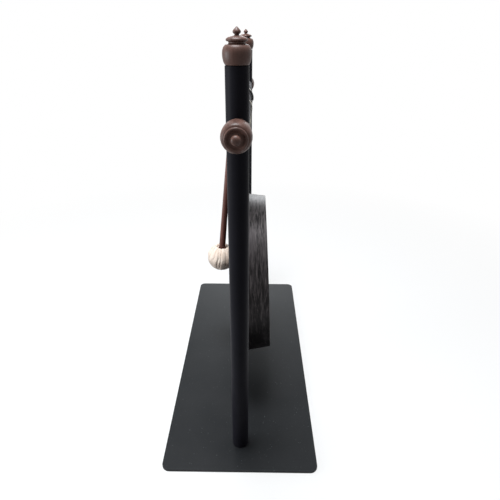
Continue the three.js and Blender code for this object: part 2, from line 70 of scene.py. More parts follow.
# Cords
# Undyed cotton cord of three strands. Two lengths hang the gong: each passes up through a
# hole in its rim, over the crossbar and back down, and is knotted inside. A third makes the
# mallet's loop and is glued into the handle's cross hole.
gap = 0.3
tube_radius = 9.5
bar_height = 377
cord_radius = 0.75
cord_lay = 4.5
strand_share = 0.52
strand_gap = 0.6
cord_hole_angle = math.radians(25)
knot_turns = 2.5
cord_tail = 3
gong_front_radius = 110.6
gong_rim_angle = math.radians(8.6)
gong_rim_thickness = 2.1
gong_offset = 11.6
gong_height = 149.9
gong_tilt = math.radians(2.75)
gong_place = (
    Matrix.Translation((0, -gong_offset, gong_height)) @ Matrix.Rotation(gong_tilt, 4, "X")
)


class Finish:
    """A material and its nodes. Its node method adds any node and gives back an output."""

    def __init__(self, name, **constants):
        self.material = bpy.data.materials.new(name)
        self.material.use_nodes = True
        self.tree = self.material.node_tree
        self.shader = self.tree.nodes["Principled BSDF"]
        for socket, value in constants.items():
            self.shader.inputs[socket.replace("_", " ")].default_value = value
        self.place = self.node("ShaderNodeTexCoord", output="Object")

    def node(self, kind, settings=None, inputs=None, output=0):
        made = self.tree.nodes.new(kind)
        for key, value in (settings or {}).items():
            if key == "stops":
                stops = made.color_ramp.elements
                while len(stops) < len(value):
                    stops.new(1)
                for stop, (position, colour) in zip(stops, value):
                    stop.position = position
                    stop.color = (*colour, 1)
            else:
                setattr(made, key, value)
        for key, value in (inputs or {}).items():
            self.feed(made.inputs[key], value)
        return Wire(self, made.outputs[output])

    def feed(self, socket, value):
        if isinstance(value, Wire):
            self.tree.links.new(value.socket, socket)
        elif socket.type == "RGBA" and len(value) == 3:
            socket.default_value = (*value, 1)
        else:
            socket.default_value = value

    def noise(self, place, scale, detail=3.0, roughness=0.5):
        inputs = {"Vector": place, "Scale": scale, "Detail": detail, "Roughness": roughness}
        return self.node("ShaderNodeTexNoise", {}, inputs)

    def stretched(self, scale):
        return self.node("ShaderNodeMapping", {}, {"Vector": self.place, "Scale": scale})

    def maths(self, operation, *values, clamp=False):
        settings = {"operation": operation, "use_clamp": clamp}
        return self.node("ShaderNodeMath", settings, dict(enumerate(values)))

    def ramp(self, value, *stops):
        return self.node("ShaderNodeValToRGB", {"stops": stops}, {"Fac": value})

    def mix(self, share, first, second):
        inputs = {0: share, 6: first, 7: second}
        return self.node("ShaderNodeMix", {"data_type": "RGBA"}, inputs, output=2)

    def bump(self, height, strength, distance):
        inputs = {"Height": height, "Strength": strength, "Distance": distance}
        return self.node("ShaderNodeBump", {}, inputs)

    def give(self, *pieces, colour=None, roughness=None, normal=None):
        for name, value in (("Base Color", colour), ("Roughness", roughness), ("Normal", normal)):
            if value is not None:
                self.feed(self.shader.inputs[name], value)
        for piece in pieces:
            piece.data.materials.clear()
            piece.data.materials.append(self.material)


class Wire:
    """One output of a node, with arithmetic that adds Math nodes."""

    def __init__(self, finish, socket):
        self.finish = finish
        self.socket = socket

    def __add__(self, other):
        return self.finish.maths("ADD", self, other)

    def __radd__(self, other):
        return self.finish.maths("ADD", other, self)

    def __sub__(self, other):
        return self.finish.maths("SUBTRACT", self, other)

    def __rsub__(self, other):
        return self.finish.maths("SUBTRACT", other, self)

    def __mul__(self, other):
        return self.finish.maths("MULTIPLY", self, other)

    def __rmul__(self, other):
        return self.finish.maths("MULTIPLY", other, self)

    def clamped(self):
        return self.finish.maths("ADD", self, 0.0, clamp=True)


def deselect():
    if bpy.context.object and bpy.context.object.mode == "EDIT":
        bpy.ops.object.mode_set(mode="OBJECT")
    bpy.ops.object.select_all(action="DESELECT")


def choose(piece):
    deselect()
    piece.select_set(True)
    bpy.context.view_layer.objects.active = piece


def settle(piece):
    """The piece's place goes into its mesh, so that its object sits at the origin."""
    choose(piece)
    bpy.ops.object.transform_apply(location=True, rotation=True, scale=True)


def smooth(piece, degrees=40):
    choose(piece)
    bpy.ops.object.shade_smooth_by_angle(angle=math.radians(degrees))


def stand_for(piece, body, slot, *nodes):
    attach(piece, body)
    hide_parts(*nodes)


def even_route(points, step, parts=12):
    """Points at even steps along a smooth curve through the given ones."""
    dense = []
    for index in range(len(points) - 1):
        before = points[max(index - 1, 0)]
        after = points[min(index + 2, len(points) - 1)]
        first, second = points[index], points[index + 1]
        length = (second - first).length
        leave = (second - before).normalized() * length
        arrive = (after - first).normalized() * length
        for part in range(parts):
            t = part / parts
            dense.append(
                first * (2 * t**3 - 3 * t**2 + 1)
                + leave * (t**3 - 2 * t**2 + t)
                + second * (3 * t**2 - 2 * t**3)
                + arrive * (t**3 - t**2)
            )
    dense.append(points[-1])
    route, travelled = [dense[0]], 0.0
    for first, second in zip(dense, dense[1:]):
        travelled += (second - first).length
        if travelled >= step:
            route.append(second)
            travelled = 0.0
    return route


def twisted_cord(name, route, radius, lay):
    """A cord of three strands laid round each other along a route, all in millimetres."""
    strand_radius = radius * strand_share
    offset = radius - strand_radius
    data = bpy.data.curves.new(name, "CURVE")
    data.dimensions = "3D"
    data.bevel_depth = strand_radius * mm
    data.bevel_resolution = 2
    data.use_fill_caps = True
    tangent = (route[1] - route[0]).normalized()
    side = tangent.orthogonal().normalized()
    sides, travelled = [], [0.0]
    for index, point in enumerate(route):
        if index:
            travelled.append(travelled[-1] + (point - route[index - 1]).length)
        following = route[min(index + 1, len(route) - 1)] - route[max(index - 1, 0)]
        tangent = following.normalized()
        side = (side - tangent * side.dot(tangent)).normalized()
        sides.append((side.copy(), tangent.cross(side)))
    for strand in range(3):
        spline = data.splines.new("POLY")
        spline.points.add(len(route) - 1)
        for index, point in enumerate(route):
            turn = 2 * math.pi * (travelled[index] / lay + strand / 3)
            across, up = sides[index]
            place = point + (across * math.cos(turn) + up * math.sin(turn)) * offset
            spline.points[index].co = (*(place * mm), 1)
    cord = bpy.data.objects.new(name, data)
    bpy.context.scene.collection.objects.link(cord)
    choose(cord)
    bpy.ops.object.convert(target="MESH")
    smooth(cord, 60)
    return cord


def cord_hole(sign):
    """A cord hole's middle in the gong's own frame, right under the crossbar's axis when the
    gong hangs at its tilt, and the hole's direction, square to the rim."""
    rim_slope = math.tan(gong_rim_angle)
    sheet_radius = gong_front_radius - gong_rim_thickness / 2 / math.cos(gong_rim_angle)
    drop = math.cos(cord_hole_angle) * math.sin(gong_tilt)
    depth = (gong_offset + sheet_radius * drop) / (math.cos(gong_tilt) + rim_slope * drop)
    radius = sheet_radius - depth * rim_slope
    aside = sign * math.sin(cord_hole_angle)
    upward = math.cos(cord_hole_angle)
    shorter = math.cos(gong_rim_angle)
    middle = Vector((aside * radius, depth, upward * radius))
    return middle, Vector((aside * shorter, math.sin(gong_rim_angle), upward * shorter))


def gong_cord_route(sign, rise_parts=3, bar_parts=10, turn_parts=10):
    """The middle of a gong cord: in at its tail, up through the hole, over the crossbar, down
    through the same hole and round in the knot. The turns lie in a ring about the rising part."""
    middle, out = cord_hole(sign)
    middle = gong_place @ middle
    out = gong_place.to_3x3() @ out
    across = Vector((0, 1, 0))
    across = (across - out * across.dot(out)).normalized()
    along = out.cross(across)
    spacing = 2 * cord_radius + strand_gap
    half = spacing / 2

    def at(across_shift, along_shift, height):
        return middle + across * across_shift + along * along_shift + out * height

    knot_top = gong_rim_thickness / 2 + gap
    knot_top += (spacing + cord_radius) * math.sin(gong_rim_angle) / 2
    turns_start = -knot_top - cord_radius
    knot_depth = knot_top + cord_radius + spacing * knot_turns
    leave_height = gong_rim_thickness / 2 + 2 * cord_radius
    bar_x = at(0, 0, leave_height + cord_radius).x
    bar_loop = tube_radius + gap + cord_radius

    def meet_angle(shift):
        foot = at(shift, 0, leave_height)
        towards = math.atan2(foot.z - bar_height, foot.y)
        distance = math.hypot(foot.y, foot.z - bar_height)
        return towards + math.copysign(math.acos(bar_loop / distance), shift)

    def on_bar(angle):
        return Vector((bar_x, bar_loop * math.cos(angle), bar_height + bar_loop * math.sin(angle)))

    def rise(shift, angle):
        leave = at(shift, 0, leave_height)
        leave.x = bar_x
        leave.z += cord_radius
        return [leave.lerp(on_bar(angle), step / rise_parts) for step in range(rise_parts + 1)]

    up_angle = meet_angle(half)
    down_angle = meet_angle(-half) + 2 * math.pi
    route = [at(half, 0, -knot_depth - cord_tail), at(half, 0, -knot_depth / 2), at(half, 0, 0)]
    route.append(at(half, 0, gong_rim_thickness / 2 + cord_radius))
    route += rise(half, up_angle)
    wrap = down_angle - up_angle
    route += [on_bar(up_angle + wrap * step / bar_parts) for step in range(1, bar_parts)]
    route += rise(-half, down_angle)[::-1]
    route.append(at(-half, 0, gong_rim_thickness / 2 + cord_radius))
    for step in range(3):
        part = step / 3 * math.pi / 2
        turn = math.pi / 2 * (1 - math.cos(part))
        height = turns_start + spacing * (1 - math.sin(part))
        route.append(at(half - spacing * math.cos(turn), spacing * math.sin(turn), height))
    steps = round(knot_turns * turn_parts)
    for step in range(steps + 1):
        turn = math.pi / 2 + step / steps * knot_turns * 2 * math.pi
        height = turns_start - step / steps * knot_turns * spacing
        route.append(at(half - spacing * math.cos(turn), spacing * math.sin(turn), height))
    return route


hook_x = -28
hook_wire_radius = 1.25
hook_bend_radius = 2.9
hook_shank = 11
seat_forward = tube_radius + gap + hook_wire_radius + hook_bend_radius
seat_height = bar_height - hook_shank - hook_bend_radius
mallet_length = 207.1
head_radius = 19.7
face_crown = 0.8
lean_reach = (
    head_radius
    + gap
    + face_crown
    + (gong_offset - seat_forward) * math.cos(gong_tilt)
    + (seat_height - gong_height) * math.sin(gong_tilt)
)
mallet_lean = math.asin(lean_reach / mallet_length) - gong_tilt
mallet_place = (
    Matrix.Translation((hook_x, -seat_forward, seat_height))
    @ Matrix.Rotation(-mallet_lean, 4, "X")
)
handle_top = -22
handle_top_radius = 3.1
loop_radius = 1.0
loop_lay = 6.0
loop_hole_inset = 6


def loop_route(corner_parts=4):
    """The middle of the mallet's loop, out of one side of the handle's hole, over the hook and
    back into the other side."""
    over = hook_wire_radius + gap + loop_radius
    beside = handle_top_radius + gap + loop_radius
    hole = handle_top - loop_hole_inset
    turn = 2 * loop_radius
    half = [(gap, hole), (beside - loop_radius, hole)]
    for step in range(corner_parts + 1):
        angle = -math.pi / 2 + step / corner_parts * math.pi / 2
        reach = beside + loop_radius - turn * (1 - math.cos(angle))
        half.append((reach, hole + turn * (math.sin(angle) + 1)))
    half += [(beside, handle_top + loop_radius), (over, -over)]
    for step in range(corner_parts + 1):
        angle = step / corner_parts * math.pi / 2
        half.append((over * math.cos(angle), over * math.sin(angle)))
    whole = half + [(-x, z) for x, z in half[-2::-1]]
    return [mallet_place @ Vector((x, 0, z)) for x, z in whole]


def length_of(points):
    return sum((there - here).length for here, there in zip(points, points[1:]))


point_spacing = 0.45
cotton_cord = Finish("undyed cotton cord", Roughness=0.9, Sheen_Weight=0.3)
cord_fuzz = cotton_cord.noise(cotton_cord.place, 1600.0, 4.0)
cords = []
for side, sign in (("left", -1), ("right", 1)):
    route = even_route(gong_cord_route(sign), cord_radius * point_spacing)
    cord = twisted_cord(f"gong_cord_{side}_twisted", route, cord_radius, cord_lay)
    stand_for(cord, "hung_gong", "pale_cord", f"gong_cord_{side}")
    route[0] * mm
    length_of(route) * mm
    [point * mm for point in route]
    cords.append(cord)
route = even_route(loop_route(), loop_radius * point_spacing)
loop = twisted_cord("mallet_loop_twisted", route, loop_radius, loop_lay)
stand_for(loop, "mallet", "pale_cord", "mallet_loop")
route[0] * mm
length_of(route) * mm
[point * mm for point in route]
cords.append(loop)
cotton_cord.give(
    *cords,
    colour=cotton_cord.ramp(cord_fuzz, (0.35, (0.46, 0.42, 0.35)), (0.7, (0.66, 0.62, 0.54))),
    normal=cotton_cord.bump(cord_fuzz, 0.4, 0.0003),
)


# Base plate
# Flat steel plate, 3 mm thick, powder coated in satin black with a few light specks of wear.
# Its corners are rounded, its edges are broken, and two screw holes are countersunk from below.
plate_low, plate_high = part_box("base_plate")
plate_corner = 9 * mm
plate_edge = 0.4 * mm
plate_size = plate_high - plate_low
post_x = 161 * mm
screw_radius = 2.5 * mm
screw_head_radius = 4.75 * mm
screw_recess = 0.3 * mm
fit = gap * mm
level_within = fit / 10


def pick_edges(piece, wanted):
    """Selects the edges whose ends pass a test, in edit mode."""
    bpy.ops.mesh.select_mode(type="EDGE")
    bpy.ops.mesh.select_all(action="DESELECT")
    mesh = bmesh.from_edit_mesh(piece.data)
    for edge in mesh.edges:
        edge.select_set(wanted(edge.verts[0].co, edge.verts[1].co))
    bmesh.update_edit_mesh(piece.data)


def turned(name, outline, start=(0, 0, 0), axis=(0, 0, 1), steps=96, closed=False):
    """A profile of (radius, length) points drawn by extruding a vertex, then spun round an
    axis from a starting point. A closed profile joins its last point to its first."""
    deselect()
    bpy.ops.mesh.primitive_plane_add(size=mm)
    piece = bpy.context.object
    piece.name = name
    bpy.ops.object.mode_set(mode="EDIT")
    bpy.ops.mesh.select_mode(type="VERT")
    bpy.ops.mesh.select_all(action="SELECT")
    bpy.ops.mesh.merge(type="CENTER")
    along = Vector(axis).normalized()
    out = along.orthogonal().normalized()
    begin = Vector(start)
    places = [begin + out * radius + along * length for radius, length in outline]
    bpy.ops.transform.translate(value=places[0])
    for here, there in zip(places, places[1:]):
        bpy.ops.mesh.extrude_region_move(TRANSFORM_OT_translate={"value": there - here})
    bpy.ops.mesh.select_all(action="SELECT")
    if closed:
        bpy.ops.mesh.select_all(action="DESELECT")
        mesh = bmesh.from_edit_mesh(piece.data)
        for vertex in mesh.verts:
            vertex.select_set(len(vertex.link_edges) == 1)
        bmesh.update_edit_mesh(piece.data)
        bpy.ops.mesh.edge_face_add()
        bpy.ops.mesh.select_all(action="SELECT")
    bpy.ops.mesh.spin(steps=steps, angle=2 * math.pi, center=begin, axis=along)
    bpy.ops.mesh.select_all(action="SELECT")
    bpy.ops.mesh.remove_doubles(threshold=0.000002)
    bpy.ops.mesh.normals_make_consistent(inside=False)
    bpy.ops.object.mode_set(mode="OBJECT")
    return piece


def carve(piece, *cutters):
    """Cuts other solids out of a piece and removes them."""
    for cutter in cutters:
        choose(piece)
        change = piece.modifiers.new("cut", "BOOLEAN")
        change.operation = "DIFFERENCE"
        change.solver = "EXACT"
        change.object = cutter
        bpy.ops.object.modifier_apply(modifier=change.name)
        bpy.data.objects.remove(cutter)


deselect()
bpy.ops.mesh.primitive_cube_add(size=1, location=(plate_low + plate_high) / 2, scale=plate_size)
plate = bpy.context.object
plate.name = "plate"
settle(plate)
bpy.ops.object.mode_set(mode="EDIT")
pick_edges(plate, lambda a, b: abs(a.z - b.z) > plate_size.z / 2)
bpy.ops.mesh.bevel(offset=plate_corner, segments=16, affect="EDGES")
for level in (plate_low.z, plate_high.z):
    pick_edges(plate, lambda a, b: max(abs(a.z - level), abs(b.z - level)) < level_within)
    bpy.ops.mesh.bevel(offset=plate_edge, segments=3, affect="EDGES")
bpy.ops.object.mode_set(mode="OBJECT")
sink = screw_head_radius - screw_radius + screw_recess
clear = screw_radius + fit
countersink = [(0, -sink), (clear + 2 * sink, -sink), (clear, sink), (clear, 4 * sink)]
countersink.append((0, 4 * sink))
carve(plate, *(turned("hole", countersink, (x, 0, 0), steps=40) for x in (-post_x, post_x)))
smooth(plate, 12)
stand_for(plate, "stand", "plate_black", "base_plate")

plate_coat = Finish("powder coat", Metallic=0.0, Specular_IOR_Level=0.13)
coat_grain = plate_coat.noise(plate_coat.place, 1500.0, 2.0)
coat_drift = plate_coat.noise(plate_coat.place, 14.0, 3.0)
coat_cloud = coat_drift * 0.7 + plate_coat.noise(plate_coat.place, 700.0, 2.0) * 0.3
coat_speck = plate_coat.noise(plate_coat.place, 520.0, 2.0, 0.6)
coat_black = plate_coat.ramp(
    coat_cloud, (0.3, (0.0104, 0.0118, 0.0134)), (0.7, (0.0186, 0.0194, 0.0210))
)
plate_coat.give(
    plate,
    colour=plate_coat.mix(
        plate_coat.ramp(coat_speck, (0.72, (0, 0, 0)), (0.75, (1, 1, 1))),
        coat_black,
        (0.10, 0.105, 0.11),
    ),
    roughness=coat_cloud * 0.10 + 0.40,
    normal=plate_coat.bump(coat_grain, 0.35, 0.00015),
)


# Base screws
# Zinc-plated countersunk screws with a hexagon socket. They pass up through the plate into
# the plugs in the posts' feet, and only their heads show, from below.
zinc = Finish("zinc plate", Metallic=1.0)
zinc_cloud = zinc.noise(zinc.place, 700.0, 3.0)
screw_length = 18 * mm
socket_radius = 1.7 * mm
socket_depth = 1.6 * mm
screws = []
for side, x in (("left", -post_x), ("right", post_x)):
    outline = [
        (0, 0),
        (screw_head_radius - plate_edge, 0),
        (screw_head_radius, plate_edge),
        (screw_radius, screw_head_radius - screw_radius),
        (screw_radius, screw_length - plate_edge),
        (screw_radius - plate_edge, screw_length),
        (0, screw_length),
    ]
    screw = turned(f"screw_{side}", outline, (x, 0, screw_recess), steps=40)
    deselect()
    bpy.ops.mesh.primitive_cylinder_add(
        vertices=6, radius=socket_radius, depth=2 * socket_depth, location=(x, 0, screw_recess)
    )
    carve(screw, bpy.context.object)
    smooth(screw, 30)
    stand_for(screw, "stand", "zinc_steel", f"base_screw_{side}")
    screws.append(screw)


# Plugs and studs
# Zinc-plated steel, out of sight inside the tubes: a threaded plug in each post's foot and in
# each end of the crossbar, and the stud that draws the crossbar, post and wooden knob together.
hidden = [
    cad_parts[f"{kind}_{side}"]
    for kind in ("foot_insert", "bar_insert", "bar_stud")
    for side in ("left", "right")
]
zinc.give(
    *screws,
    *hidden,
    colour=zinc.ramp(zinc_cloud, (0.3, (0.42, 0.43, 0.44)), (0.7, (0.60, 0.61, 0.62))),
    roughness=zinc_cloud * 0.2 + 0.28,
    normal=zinc.bump(zinc_cloud, 0.1, 0.0002),
)


# Posts
# Round steel tube, 19 mm, with a 1.5 mm wall, enamelled in a soft deep black. The top end is
# chamfered, and a hole goes through it for the stud at the crossbar's height.
tube = tube_radius * mm
bore = 8 * mm
chamfer = 0.5 * mm
stud_hole = 3.3 * mm


def rod(radius, start, end):
    """The profile of a plain rod or drill between two lengths along its axis."""
    return [(0, start), (radius, start), (radius, end), (0, end)]


posts = []
for side in ("left", "right"):
    low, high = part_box(f"post_{side}")
    middle = (low + high) / 2
    height = high.z - low.z
    outline = [
        (bore, 0),
        (tube - chamfer / 2, 0),
        (tube, chamfer / 2),
        (tube, height - chamfer),
        (tube - chamfer, height),
        (bore, height),
    ]
    post = turned(f"post_{side}_tube", outline, (middle.x, 0, low.z), closed=True)
    drill = rod(stud_hole, -2 * tube, 2 * tube)
    carve(post, turned("hole", drill, (middle.x, 0, bar_height * mm), (1, 0, 0), steps=40))
    smooth(post, 30)
    stand_for(post, "stand", "tube_black", f"post_{side}")
    posts.append(post)


# Crossbar
# The same enamelled tube, its ends hollowed to sit round the posts. The studs draw it up
# against them from inside.
bar_reach = post_x - 4 * mm
outline = [(bore, -bar_reach), (tube, -bar_reach), (tube, bar_reach), (bore, bar_reach)]
crossbar = turned("crossbar_tube", outline, (0, 0, bar_height * mm), (1, 0, 0), closed=True)
seat = rod(tube + fit, -2 * tube, 2 * tube)
seats = [turned("seat", seat, (x, 0, bar_height * mm)) for x in (-post_x, post_x)]
carve(crossbar, *seats)
smooth(crossbar, 30)
stand_for(crossbar, "stand", "tube_black", "crossbar")

enamel = Finish("black enamel", Metallic=0.0, Specular_IOR_Level=0.035)
enamel_peel = enamel.noise(enamel.place, 260.0, 2.0)
enamel_cloud = enamel.noise(enamel.place, 30.0, 3.0)
enamel_black = enamel.ramp(
    enamel_cloud, (0.3, (0.0120, 0.0118, 0.0155)), (0.7, (0.0172, 0.0166, 0.0215))
)
enamel.give(
    *posts,
    crossbar,
    colour=enamel_black,
    roughness=enamel_cloud * 0.10 + 0.42,
    normal=enamel.bump(enamel_peel, 0.06, 0.0003),
)


# Finials
# Turned hardwood with a satin varnish, pushed into the posts' open tops: a bulb, an undercut
# neck, a domed lid and a small onion knob.
def curve(start, first, second, end, steps=10):
    """Points along a curve between two places, bent towards two others."""
    made = []
    for step in range(1, steps + 1):
        t = step / steps
        s = 1 - t
        shares = (s**3, 3 * s * s * t, 3 * s * t * t, t**3)
        places = (start, first, second, end)
        made.append(tuple(sum(k * p[axis] for k, p in zip(shares, places)) for axis in (0, 1)))
    return made


def finial_outline():
    points = [(0, -12), (7.3, -12), (7.7, -11.6), (7.7, 0), (9.3, 0), (9.4, 0.1)]
    points += curve((9.4, 0.1), (10.5, 1.8), (11.2, 4.4), (11.2, 7.5))
    points += curve((11.2, 7.5), (11.2, 10.8), (10.1, 13.0), (8.4, 13.7), 9)
    points += curve((8.4, 13.7), (8.0, 13.9), (7.8, 13.9), (7.4, 13.95), 4)
    points += curve((7.4, 13.95), (6.6, 14.1), (6.3, 14.5), (6.3, 15.0), 5)
    points += curve((6.3, 15.0), (6.3, 15.6), (6.7, 15.8), (7.3, 15.8), 5)
    points += curve((7.3, 15.8), (8.0, 15.8), (8.35, 16.3), (8.3, 16.9), 5)
    points += curve((8.3, 16.9), (8.2, 17.8), (7.0, 18.5), (5.6, 18.9), 6)
    points += curve((5.6, 18.9), (3.8, 19.5), (2.4, 19.7), (1.9, 19.95), 6)
    points += curve((1.9, 19.95), (1.7, 20.1), (1.7, 20.4), (1.8, 20.6), 4)
    points += curve((1.8, 20.6), (2.6, 20.9), (3.1, 21.5), (3.1, 22.2), 6)
    points += curve((3.1, 22.2), (3.1, 23.2), (1.4, 24.4), (0.5, 25.4), 9)
    points += [(0.2, 25.58), (0, 25.6)]
    return [(radius * mm, height * mm) for radius, height in points]


post_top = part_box("post_right")[1].z + fit
finials = []
for side, x in (("left", -post_x), ("right", post_x)):
    finial = turned(f"finial_{side}_turned", finial_outline(), (x, 0, post_top), steps=64)
    smooth(finial, 35)
    stand_for(finial, "stand", "turned_wood", f"finial_{side}")
    finials.append(finial)


# Bar-end knobs
# Turned from the same wood, hollowed to the post and drawn up by the stud inside: a swelling
# body, a groove, a bead, and a button standing in a shallow dish.
def knob_outline():
    points = [(0, -9.5), (11, -9.5), (11, 0)]
    points += curve((11, 0), (11.7, 3.0), (12.4, 7.5), (12.4, 14.5), 12)
    points += curve((12.4, 14.5), (12.4, 19.5), (11.2, 22.2), (9.3, 22.6), 12)
    points += curve((9.3, 22.6), (8.8, 22.7), (8.6, 22.8), (8.6, 23.1), 4)
    points += curve((8.6, 23.1), (8.8, 23.1), (9.4, 23.6), (9.4, 24.5), 6)
    points += curve((9.4, 24.5), (9.4, 25.4), (9.0, 26.0), (8.3, 26.0), 6)
    points += curve((8.3, 26.0), (7.2, 26.0), (6.4, 24.7), (4.9, 24.6), 8)
    points += [(4.0, 24.7), (4.0, 26.6)]
    points += curve((4.0, 26.6), (4.0, 28.6), (2.7, 30.0), (0, 30.0), 10)
    return [(radius * mm, length * mm) for radius, length in points]


stud_depth = 14.8 * mm
knobs = []
for side, sign in (("left", -1), ("right", 1)):
    foot = (sign * (post_x + tube), 0, bar_height * mm)
    knob = turned(f"bar_knob_{side}_turned", knob_outline(), foot, (sign, 0, 0), steps=64)
    post_cut = turned("cut", seat, (sign * post_x, 0, bar_height * mm))
    drill = rod(stud_hole, -2 * tube, stud_depth)
    carve(knob, post_cut, turned("cut", drill, foot, (sign, 0, 0), steps=40))
    smooth(knob, 35)
    stand_for(knob, "stand", "turned_wood", f"bar_knob_{side}")
    knobs.append(knob)


def varnish(name, pieces, along, tones, dullness):
    """Gives pieces wood whose grain runs along one axis, under a satin varnish. The tones are
    its dark, middle and light colour."""
    wood = Finish(name, Specular_IOR_Level=0.28)
    fibre_size = [900.0, 900.0, 900.0]
    fibre_size[along] = 60.0
    fibre = wood.noise(wood.stretched(tuple(fibre_size)), 1.0, 4.0, 0.6)
    growth_size = [190.0, 190.0, 190.0]
    growth_size[along] = 14.0
    growth = wood.noise(wood.stretched(tuple(growth_size)), 1.0, 2.0)
    wood.give(
        *pieces,
        colour=wood.ramp(fibre * 0.35 + growth * 0.65, *zip((0.36, 0.50, 0.64), tones)),
        roughness=fibre * 0.12 + dullness,
        normal=wood.bump(fibre, 0.08, 0.0003),
    )


brown_tones = ((0.060, 0.027, 0.020), (0.088, 0.042, 0.032), (0.118, 0.060, 0.047))
varnish("turned wood upright", finials, 2, brown_tones, 0.40)
varnish("turned wood level", knobs, 0, brown_tones, 0.40)


# Gong
# Spun and hammered bronze with an open back: a gently crowned face, a rounded shoulder and a
# rim drawn in towards the back, with two cord holes near the top. It is patinated dark, with
# fine rings from the lathe and hammer marks on the face. Light and shade are painted on the rim:
# it is lighter, with more light flecks, towards its top and darker towards its bottom.
gong_depth = 45.3
gong_shoulder = 7
gong_face_thickness = 1.3
gong_lip = 0.5
gong_hole_radius = 2.2 * mm
gong_drill_reach = 6 * mm


def rim_radius_at(depth, thickness=0.0):
    outer = gong_front_radius - depth * math.tan(gong_rim_angle)
    return outer - thickness / math.cos(gong_rim_angle)


def gong_outline(face_parts=24, shoulder_parts=12, rim_depths=(16, 26, 36)):
    """Outer face from its middle, round the shoulder and along the rim, and back inside."""
    middle_radius = rim_radius_at(gong_shoulder) - gong_shoulder / math.cos(gong_rim_angle)
    quarter = math.pi / 2 - gong_rim_angle
    thicker = gong_rim_thickness - gong_face_thickness
    points = []
    for step in range(face_parts + 1):
        share = step / face_parts
        points.append((middle_radius * share, face_crown * (share**2 - 1)))
    for step in range(1, shoulder_parts + 1):
        angle = step / shoulder_parts * quarter
        radius = middle_radius + gong_shoulder * math.sin(angle)
        points.append((radius, gong_shoulder * (1 - math.cos(angle))))
    depths = (*rim_depths, gong_depth - gong_lip)
    points += [(rim_radius_at(depth), depth) for depth in depths]
    points.append((rim_radius_at(gong_depth) - gong_lip, gong_depth))
    points.append((rim_radius_at(gong_depth, gong_rim_thickness) + gong_lip, gong_depth))
    points += [(rim_radius_at(depth, gong_rim_thickness), depth) for depth in reversed(depths)]
    for step in range(shoulder_parts, -1, -1):
        angle = step / shoulder_parts * quarter
        reach = gong_shoulder - gong_face_thickness - thicker * step / shoulder_parts
        radius = middle_radius + reach * math.sin(angle)
        points.append((radius, gong_shoulder - reach * math.cos(angle)))
    for step in range(face_parts - 1, -1, -1):
        share = step / face_parts
        depth = face_crown * (share**2 - 1) + gong_face_thickness
        points.append((middle_radius * share, depth))
    return [(radius * mm, depth * mm) for radius, depth in points]


def put(piece, place):
    """Moves a mesh, made in metres round the origin, to a place given in millimetres."""
    shift = place.copy()
    shift.translation *= mm
    piece.data.transform(shift)
    piece.data.update()


gong = turned("gong_spun", gong_outline(), (0, 0, 0), (0, 1, 0), steps=192)
for sign in (-1, 1):
    middle, out = cord_hole(sign)
    drill = rod(gong_hole_radius, -gong_drill_reach, gong_drill_reach)
    carve(gong, turned("bore", drill, middle * mm, out, steps=48))
put(gong, gong_place)
smooth(gong, 35)
stand_for(gong, "hung_gong", "bronze", "gong")

bronze = Finish("patinated bronze", Metallic=0.35, Specular_IOR_Level=0.18)
gong_centred = bronze.node(
    "ShaderNodeVectorMath",
    {"operation": "ADD"},
    {0: bronze.place, 1: Vector((0, gong_offset, -gong_height)) * mm},
)
gong_own = bronze.node(
    "ShaderNodeMapping", {}, {"Vector": gong_centred, "Rotation": (math.pi / 2 - gong_tilt, 0, 0)}
)
across, downward, backward = (
    bronze.node("ShaderNodeSeparateXYZ", {}, {"Vector": gong_own}, axis) for axis in "XYZ"
)
squared = across * across + downward * downward
from_axis = bronze.maths("SQRT", squared)
turned_by = bronze.maths("ARCTAN2", downward, across)


def ringed(radius_scale, depth_scale, turn_scale):
    """Streaks that run round the gong: fine across its radius and depth, long round it."""
    inputs = {
        "X": from_axis * radius_scale,
        "Y": backward * depth_scale,
        "Z": turned_by * turn_scale,
    }
    return bronze.node("ShaderNodeCombineXYZ", {}, inputs)


lathe_rings = bronze.noise(ringed(1500.0, 1500.0, 0.9), 1.0, 4.0, 0.65)
streaks = bronze.noise(ringed(260.0, 320.0, 1.6), 1.0, 3.0, 0.6)
cloud = bronze.noise(bronze.place, 38.0, 4.0, 0.6)
hammer = bronze.node(
    "ShaderNodeTexVoronoi",
    {"feature": "SMOOTH_F1"},
    {"Vector": gong_own, "Scale": 95.0, "Smoothness": 0.6, "Randomness": 0.85},
    "Distance",
)
on_face = ((backward * -1.0 + 0.003) * 600.0).clamped()
on_rim = ((from_axis - 0.095) * 200.0).clamped()
# Painted light and shade: the rim's height in the gong's own frame, which lightens the rim towards its
# top and darkens it towards its bottom.
painted_rim_shading = downward * on_rim * -1.0
patina = streaks * 0.55 + cloud * 0.45
fleck = bronze.noise(ringed(900.0, 900.0, 9.0), 1.0, 3.0, 0.6)
# Light flecks of wear on the rim, made denser towards the rim's top as painted light.
flecks_and_painted_light = bronze.ramp(
    (fleck * 0.8 + streaks * 0.2) * (on_rim * 0.12 + 0.88) + painted_rim_shading * 0.8,
    (0.515, (0, 0, 0)),
    (0.70, (1, 1, 1)),
)
bronze.give(
    gong,
    colour=bronze.mix(
        flecks_and_painted_light,
        # Dark patina, lightened towards the rim's top and darkened towards its bottom as painted light
        # and shade.
        bronze.ramp(
            patina + painted_rim_shading * 0.8,
            (0.34, (0.003, 0.0023, 0.0026)),
            (0.50, (0.0068, 0.0056, 0.0060)),
            (0.66, (0.050, 0.0435, 0.0455)),
        ),
        (0.088, 0.077, 0.078),
    ),
    roughness=lathe_rings * 0.20 + patina * 0.16 + 0.22,
    normal=bronze.bump(lathe_rings * 0.25 + fleck * 0.35 + hammer * on_face * 1.6, 0.5, 0.0006),
)


# Mallet hook
# Black enamelled spring wire, 2.5 mm. It grips round the crossbar and ends in an open bend
# that holds the mallet's loop.
hook_back_angle = math.radians(195)
hook_tip_angle = math.radians(60)
hook_tip = 5


